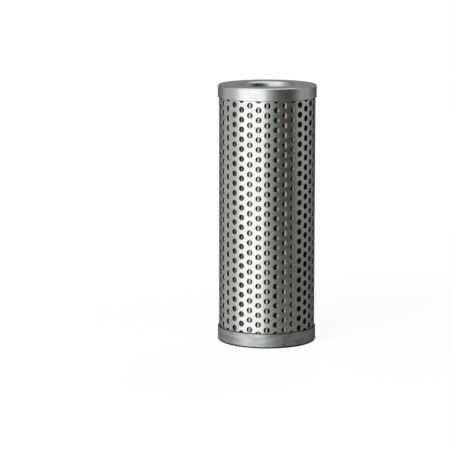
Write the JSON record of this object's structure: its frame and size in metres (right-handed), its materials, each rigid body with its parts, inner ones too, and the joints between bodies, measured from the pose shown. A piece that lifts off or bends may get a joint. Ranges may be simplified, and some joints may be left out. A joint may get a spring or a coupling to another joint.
{
  "type": "pleated filter element",
  "caption": "Upright pleated filter element: folded paper ring inside a perforated metal tube, with a stamped ring cap and an open bore at each end.",
  "frame": {"origin": "middle of the lower cap's outer face, which is the foot it stands on", "axes": "+Z along the element's axis from the foot to the top cap; -Y faces the front, opposite the tube's rolled seam"},
  "size_m": [0.0484, 0.0484, 0.127],
  "materials": {
    "cap_steel": "zinc plated, fine drawing lines",
    "tube_steel": "zinc plated, rolled sheet",
    "clip_steel": "folded strip",
    "filter_paper": "resin-treated filter paper",
    "bond_resin": "cast bond"
  },
  "bodies": {
    "root": {"top_end_cap": "cap_steel", "bottom_end_cap": "cap_steel", "outer_tube": "tube_steel", "pleated_media": "filter_paper", "seam_clip": "clip_steel", "top_bond_ring": "bond_resin", "bottom_bond_ring": "bond_resin"}
  },
  "joints": []
}
